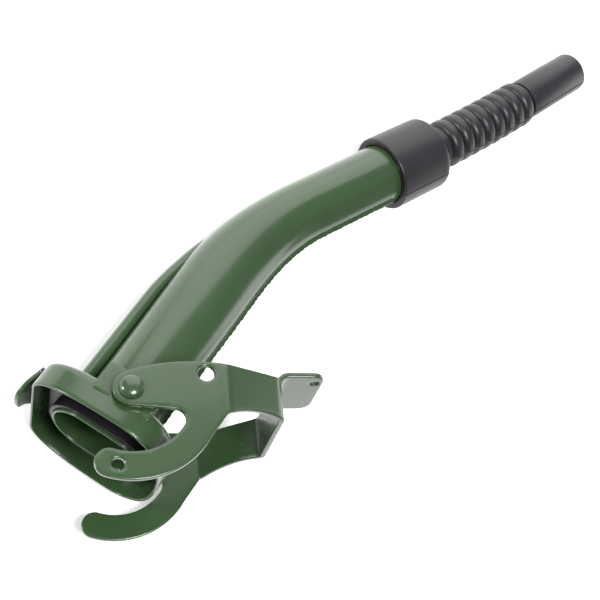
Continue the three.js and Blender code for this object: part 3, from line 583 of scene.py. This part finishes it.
claw_line = bent_line(CLAW_LINE, 3)
claw_end = claw_line[0][-1]
CLAW_ROOT, CLAW_TIP = 16.0, 8.0  # half widths
CLAW_THICK = 2.0
claw_half = np.vstack([
    [(0, CLAW_ROOT), (2, CLAW_ROOT)],
    bezier([(claw_end - 4, CLAW_TIP), (claw_end, 6.5), (claw_end, 3), (claw_end, 0)], 12),
    [(claw_end, 0)]])
claw_outline = np.vstack([claw_half * (1, -1), claw_half[-2::-1]])


def claw_place(s, b, h):
    """Along the claw's bent line by s, off it by h and across by b."""
    x, y = on_line(claw_line, s, h)
    return np.stack([x, y, b], 1)


sheet_piece("rear_claw_tongue", claw_outline, [], claw_place, CLAW_THICK, 0.45, 0.8, "spout", ["rear_claw"])


# ---------- Clamp lever ----------
# One plate, folded four times into a yoke: two cheeks with eyes and hooks, two strips that lead in to
# a bridge, and a thumb tab turned out from the bridge. The hooks grip the lugs beside the can's mouth.
PLATE = 2.4
FOLD_WAY = math.radians(215.2)
FOLD = np.array([math.cos(FOLD_WAY), math.sin(FOLD_WAY)])
OUTWARD = np.array([-FOLD[1], FOLD[0]])
BEND_TOP = np.array([46.1, -29.1])  # upper end of the fold between cheek and strip, in (X, Y)
BEND_LENGTH = 21.7
STRIP_SPAN = 26.2  # from that fold to the bridge, seen from the side
STRIP_RISE_TOP, STRIP_RISE_FOOT, STRIP_ARCH = 1.7, 4.0, 4.5
WASHER_ROOM = 1.4  # from the ears' outer side to the cheeks: a washer and a gap on each side of it
CHEEK_Z = DISH_HALF_WIDTH + WASHER_ROOM + PLATE / 2
CHEEK_REACH = 80.0  # more than the cheeks need
BRIDGE_Z = 21.4
EYE_RADIUS = 7.4
EYE_TOP_ANGLE, EYE_FOOT_ANGLE = 52, 209.5
HOOK = np.array([12.8, -6.0])  # centre of the two hook arcs
HOOK_INNER, HOOK_OUTER = 24.0, 35.6
HOOK_TIP_ANGLE, HOOK_HOLE_ANGLE, HOOK_ROOT_ANGLE = 197, 203.5, 275
NOTCH_RADIUS = 4.3
NOTCH_ANGLE, NOTCH_EXIT_ANGLE = 273, 29.5
BORE_FIT, CHEEK_HOLE_RADIUS, HOOK_HOLE_RADIUS = 2.9, 3.5, 2.6
CHEEK_HOLE = (37.7, -25.1)
FOLD_RADIUS = 2.2
LEVER_EDGE = 0.55  # rounding of the plate's edges
CROWN = (2.3, 5.2)  # how far the cheek's back edge is drawn off its chord
yoke = bent_line([(STRIP_SPAN, 0), (STRIP_SPAN, BRIDGE_Z), (0, CHEEK_Z), (-CHEEK_REACH, CHEEK_Z)],
                 FOLD_RADIUS)
yoke_run, yoke_out = yoke[0][::-1], yoke[1][::-1, 0]
fold_run = np.interp(0, yoke_out, yoke_run)


def on_cheek(points):
    """Own (X, Y) of a cheek to the flat plate: run along the yoke at its outward distance, then the
    distance along the fold."""
    moved = np.asarray(points, float) - BEND_TOP
    return np.stack([np.interp(moved @ OUTWARD, yoke_out, yoke_run), moved @ FOLD], 1)


def yoke_place(s, b, h):
    """A plate point to the yoke: the bent line gives outward distance and Z, and b runs along the folds."""
    out, z = on_line(yoke, np.abs(s), -h)
    flat = BEND_TOP + out[:, None] * OUTWARD + b[:, None] * FOLD
    return np.stack([flat[:, 0], flat[:, 1], np.sign(s) * z], 1)


def from_hook(radius, degrees):
    """A point at a radius and angle from the centre of the hook arcs."""
    return arc(HOOK, radius, degrees, degrees, 1)[0]


hook_middle, hook_half = (HOOK_INNER + HOOK_OUTER) / 2, (HOOK_OUTER - HOOK_INNER) / 2
eye_top = arc(PIVOT, EYE_RADIUS, EYE_TOP_ANGLE, EYE_TOP_ANGLE, 1)[0]
crown = (eye_top + BEND_TOP) / 2 + CROWN
share = np.linspace(0, 1, 60)[:, None]
crown_edge = (1 - share) ** 2 * BEND_TOP + 2 * (1 - share) * share * crown + share ** 2 * eye_top
notch_centre = from_hook(HOOK_INNER - NOTCH_RADIUS, NOTCH_ANGLE)
cheek_edge = np.vstack([
    crown_edge,
    arc(PIVOT, EYE_RADIUS, EYE_TOP_ANGLE, EYE_FOOT_ANGLE),
    arc(notch_centre, NOTCH_RADIUS, NOTCH_EXIT_ANGLE, NOTCH_ANGLE - 360, 30),
    arc(HOOK, HOOK_INNER, NOTCH_ANGLE, HOOK_TIP_ANGLE, 60),
    arc(from_hook(hook_middle, HOOK_TIP_ANGLE), hook_half, HOOK_TIP_ANGLE - 180, HOOK_TIP_ANGLE, 40),
    arc(HOOK, HOOK_OUTER, HOOK_TIP_ANGLE, HOOK_ROOT_ANGLE, 80),
    [BEND_TOP + FOLD * BEND_LENGTH],
])
strip_reach = np.hypot(STRIP_SPAN, CHEEK_Z - BRIDGE_Z)
bridge_run = fold_run - strip_reach
bridge_low = BEND_LENGTH - STRIP_RISE_FOOT
arch_share = np.linspace(0, 1, 40)
arch_rise = 2 * (1 - arch_share) * arch_share * (STRIP_RISE_FOOT / 2 + STRIP_ARCH)
arch_rise += arch_share ** 2 * STRIP_RISE_FOOT
near_half = np.vstack([
    [(0, -STRIP_RISE_TOP), (bridge_run, -STRIP_RISE_TOP)],
    on_cheek(cheek_edge),
    np.stack([fold_run - arch_share * strip_reach, BEND_LENGTH - arch_rise], 1),
    [(bridge_run, bridge_low), (0, bridge_low)],
])
lever_outline = np.vstack([near_half, near_half[::-1] * (-1, 1)])
lever_holes = []
for centre, radius in ((PIVOT, BORE_FIT), (CHEEK_HOLE, CHEEK_HOLE_RADIUS)):
    hole = on_cheek(arc(centre, radius, 0, 352, 45))
    lever_holes += [hole, hole * (-1, 1)]
hook_hole = from_hook(hook_middle, HOOK_HOLE_ANGLE)
lever_holes.append(on_cheek(arc(hook_hole, HOOK_HOLE_RADIUS, 0, 352, 45)))
sheet_piece("folded_lever", lever_outline, lever_holes, yoke_place, PLATE, LEVER_EDGE, 0.8, "lever",
            ["clamp_lever"])

# The tab runs up inside the bridge, over its edge, and out. It is a shade thinner so that its root
# stays inside the bridge's plate.
TAB_HALF = 17.2
TAB_THICK = PLATE - 0.06
TAB_HOLE_SIDE, TAB_HOLE_INSET, TAB_HOLE_RADIUS = 10.5, 3.6, 2.0
tab_line = bent_line([(0, -3), (0, 0), (4, 3.9), (22.4, 3.9)], FOLD_RADIUS)
tab_end = tab_line[0][-1]
tab_origin = BEND_TOP + STRIP_SPAN * OUTWARD - STRIP_RISE_TOP * FOLD


def tab_place(s, b, h):
    """Along the tab's bent line by s, off it by h and across by b."""
    out, up = on_line(tab_line, s, h)
    flat = tab_origin + out[:, None] * OUTWARD - up[:, None] * FOLD
    return np.stack([flat[:, 0], flat[:, 1], b], 1)


far_corner = [(tab_end - 6.5, -TAB_HALF), (tab_end - 2.5, -TAB_HALF), (tab_end, -14.5), (tab_end, -10.5)]
near_corner = [(tab_end, 11.2), (tab_end, 14.6), (tab_end - 2, TAB_HALF), (tab_end - 5.5, TAB_HALF)]
tab_outline = np.vstack([[(0, -TAB_HALF)], bezier(far_corner, 16), bezier(near_corner, 16), [(0, TAB_HALF)]])
tab_hole = arc((tab_end - TAB_HOLE_INSET, TAB_HOLE_SIDE), TAB_HOLE_RADIUS, 0, 352, 45)
sheet_piece("thumb_tab", tab_outline, [tab_hole], tab_place, TAB_THICK, LEVER_EDGE, 0.8, "lever")


# ---------- Rivets ----------
# Round-headed steel rivets, set cold through cheek, washer and ear, and painted over.
SHANK_RADIUS, TAIL_RADIUS, HEAD_RADIUS = 2.6, 3.6, 5.0
DOME_HEIGHT = 2.4
tail_seat = DISH_HALF_WIDTH - EAR_THICK - 2 * GAP
head_seat = CHEEK_Z + PLATE / 2 + GAP


def rivet_surface(sign):
    """A turned profile from the tail's end up the shank and over a domed head, whose radius falls as
    cos(a) to the power 0.9 and whose height grows as sin(a); both ends are poles."""
    dome = np.linspace(0, np.pi / 2, 16)
    profile = np.vstack([
        [(0, tail_seat - 1.2), (SHANK_RADIUS, tail_seat - 1.2), (TAIL_RADIUS - 0.2, tail_seat - 0.9),
         (TAIL_RADIUS, tail_seat - 0.4), (TAIL_RADIUS, tail_seat), (SHANK_RADIUS, tail_seat + 0.05),
         (SHANK_RADIUS, head_seat), (HEAD_RADIUS - 0.3, head_seat - 0.05)],
        np.stack([HEAD_RADIUS * np.cos(dome) ** 0.9, head_seat + 0.4 + DOME_HEIGHT * np.sin(dome)], 1)])
    profile[-1, 0] = 0
    turns = np.linspace(0, 2 * np.pi, 72, endpoint=False)
    radius, height = profile[:, :1], profile[:, 1:]
    return np.stack([PIVOT[0] + radius * np.cos(turns), PIVOT[1] + radius * np.sin(turns),
                     sign * (height + 0 * turns)], -1)


for sign, side_name in SIDES:
    skin(f"{side_name}_rivet_head", rivet_surface(sign), enamel, "spout",
         [f"{side_name}_rivet"], rows_closed=False)


# ---------- Inlet collar ----------
# An oval steel neck, welded into the dish, that reaches into the can's mouth inside the gasket.
COLLAR_HALF_LENGTH, COLLAR_HALF_WIDTH = 22.5, 14.0
COLLAR_RECESS = 1.8  # rim below the mouth plane
collar_root = DISH_DEPTH - SHEET + GAP


def collar_surface():
    """A stadium outline carried along X: out at the full size, round the rim and back at the bore."""
    half_turn = np.linspace(0, np.pi, 60)
    straight = COLLAR_HALF_LENGTH - COLLAR_HALF_WIDTH
    rim = COLLAR_RECESS + SHEET / 2
    lip = np.linspace(0, np.pi, 7)
    rows = []
    for inset, x in [*[(0.0, x) for x in np.linspace(collar_root, rim, 12)],
                     *[(SHEET / 2 * (1 - np.cos(k)), rim - SHEET / 2 * np.sin(k)) for k in lip],
                     *[(SHEET, x) for x in np.linspace(rim, collar_root, 12)]]:
        radius = COLLAR_HALF_WIDTH - inset
        z = np.concatenate([radius * np.cos(half_turn), -radius * np.cos(half_turn)])
        y = straight + radius * np.sin(half_turn)
        rows.append(np.stack([x + 0 * z, np.concatenate([y, -y]), z], 1))
    return np.array(rows)


skin("oval_collar", collar_surface(), enamel, "spout", ["inlet_collar"])


# ---------- Rubber end ----------
# Moulded black rubber: a sleeve pushed over the tube, a bellows that bends, and a plain tip. It is one
# moulding, divided where it bends.
def black_rubber(tree):
    # Compression-moulded nitrile rubber: almost matt, faintly grey where it has bloomed.
    place = add(tree, "ShaderNodeTexCoord").outputs["Object"]
    bloom = add(tree, "ShaderNodeTexNoise", {"Vector": place, "Scale": 60.0, "Detail": 4.0, "Roughness": 0.6})
    tint = add(tree, "ShaderNodeMix", {"Factor": bloom.outputs["Fac"], "A": linear("#110f13"),
                                       "B": linear("#1c1a1f")}, data_type="RGBA")
    # Grain of the mould, 0.5 mm, drawn as coarse as it needs to show.
    grain = add(tree, "ShaderNodeTexNoise", {"Vector": place, "Scale": 1900.0, "Detail": 3.0})
    bump = add(tree, "ShaderNodeBump", {"Height": grain.outputs["Fac"], "Strength": 0.25, "Distance": 0.0001})
    rough = add(tree, "ShaderNodeMapRange", {"Value": bloom.outputs["Fac"], "To Min": 0.32, "To Max": 0.5})
    return add(tree, "ShaderNodeBsdfPrincipled", {
        "Base Color": tint.outputs["Result"], "Roughness": rough.outputs[0], "Normal": bump.outputs[0],
        "IOR": 1.52, "Specular IOR Level": 0.4})


rubber = finish_material("moulded_black_rubber", black_rubber)
BORE = 7.6
CRESTS = 8
CREST_LEAD, CREST_TRAIL = 9.2, 1.6  # plain lengths before the first crest and after the last
CREST_START, CREST_END = 12.8, 12.4  # radii of the first and the last crest
CREST_HEIGHT = 2.1
FIRST_TROUGH = SLEEVE_END + CREST_LEAD
PITCH = (BELLOWS_RUN - CREST_LEAD - CREST_TRAIL) / CRESTS
LOWER_END = FIRST_TROUGH + 3 * PITCH
UPPER_START = LOWER_END + 2 * PITCH
SLEEVE_RADIUS, SLEEVE_BORE = 19.1, 15.7
SLEEVE_END_WALL = 3.2
TIP_RADIUS = 11.0


def turned_surface(profile, count=112):
    """A closed profile of (radius, length) turned about the centre line. Where the mould parts, on both
    sides, the outside rises by 0.3 mm x exp(-(sine of the angle away / 0.025) to the power 4)."""
    parting = math.radians(166)
    even = np.linspace(0, 2 * np.pi, count, endpoint=False)
    fine = parting + np.linspace(-0.05, 0.05, 9)
    turns = np.unique(np.round(np.concatenate([even, fine, fine + np.pi]) % (2 * np.pi), 6))
    radius, length = np.asarray(profile, float).T[:, :, None]
    flash = 0.3 * np.exp(-(np.sin(turns - parting) / 0.025) ** 4) * (radius > BORE + 1)
    return along(length + 0 * turns, (radius + flash) * np.cos(turns), (radius + flash) * np.sin(turns))


def bellows_radius(length):
    """Trough plus crest height x (1 - d to the power 3.4), d being the distance from the crest's middle
    in half pitches: broad crests with narrow grooves."""
    share = (length - FIRST_TROUGH) / PITCH
    arch = np.where((share > 0) & (share < CRESTS), 1 - np.abs(2 * (share % 1) - 1) ** 3.4, 0)
    crest = CREST_START + (CREST_END - CREST_START) * (length - SLEEVE_END) / BELLOWS_RUN
    return crest - CREST_HEIGHT + CREST_HEIGHT * arch


def bellows_surface(start, end):
    """One length of the bellows outside, six rows to the millimetre, closed through the bore."""
    lengths = np.linspace(start, end, int((end - start) * 6))
    outside = np.stack([bellows_radius(lengths), lengths], 1)
    return turned_surface(np.vstack([outside, [(BORE, end)], [(BORE, start)]]))


# Radius and distance from the sleeve's end, round the open rim and then round the wider shoulder.
sleeve_rim = [(16.2, 0), (18.3, 0), (18.6, 0), (18.9, 0.15), (19.05, 0.4), (SLEEVE_RADIUS, 0.7),
              (SLEEVE_RADIUS, 1.2)]
sleeve_shoulder = [(19.0, 3), (18.95, 1.7), (18.8, 1.1), (18.4, 0.5), (17.9, 0.15), (17.3, 0),
                   (16.8, 0), (12.5, 0)]
sleeve_profile = [
    (SLEEVE_BORE, SLEEVE_START + 1), (SLEEVE_BORE, SLEEVE_START + 0.4),
    (SLEEVE_BORE + 0.2, SLEEVE_START + 0.1),
    *[(radius, SLEEVE_START + run) for radius, run in sleeve_rim],
    *[(radius, SLEEVE_END - run) for radius, run in sleeve_shoulder],
    (BORE, SLEEVE_END), (BORE, SLEEVE_END - SLEEVE_END_WALL), (SLEEVE_BORE, SLEEVE_END - SLEEVE_END_WALL)]
skin("rubber_sleeve", turned_surface(sleeve_profile), rubber, "spout", ["hose_sleeve"])
lower = skin("lower_bellows_skin", bellows_surface(SLEEVE_END - 0.2, LOWER_END), rubber, None,
             ["lower_bellows"])
skin("middle_ring_skin", bellows_surface(LOWER_END, UPPER_START), rubber, "hose_mid",
     ["middle_bellows_ring"])
upper = skin("upper_bellows_skin", bellows_surface(UPPER_START, TIP_START), rubber, None,
             ["upper_bellows"])
tip_profile = [
    (BORE, TIP_START), (TIP_RADIUS - 0.1, TIP_START), (TIP_RADIUS, TIP_START + 0.3),
    (TIP_RADIUS, TIP_START + 20), (TIP_RADIUS, TIP_END - 1.2), (TIP_RADIUS - 0.2, TIP_END - 0.5),
    (TIP_RADIUS - 0.7, TIP_END), (BORE + 0.5, TIP_END), (BORE, TIP_END - 0.5)]
skin("plain_tip", turned_surface(tip_profile), rubber, "hose_end", ["hose_tip"])


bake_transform(lower)
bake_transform(upper)


# ---------- Small carried pieces ----------
# Washers, the gasket and the hidden run of the breather keep their shape from the frame.
CARRIED = {"near_washer": enamel, "far_washer": enamel, "inner_breather_pipe": enamel, "seal_gasket": rubber}
for node_name, finish in CARRIED.items():
    slots = frame["nodes"][node_name].data.materials
    slots.clear()
    slots.append(finish)
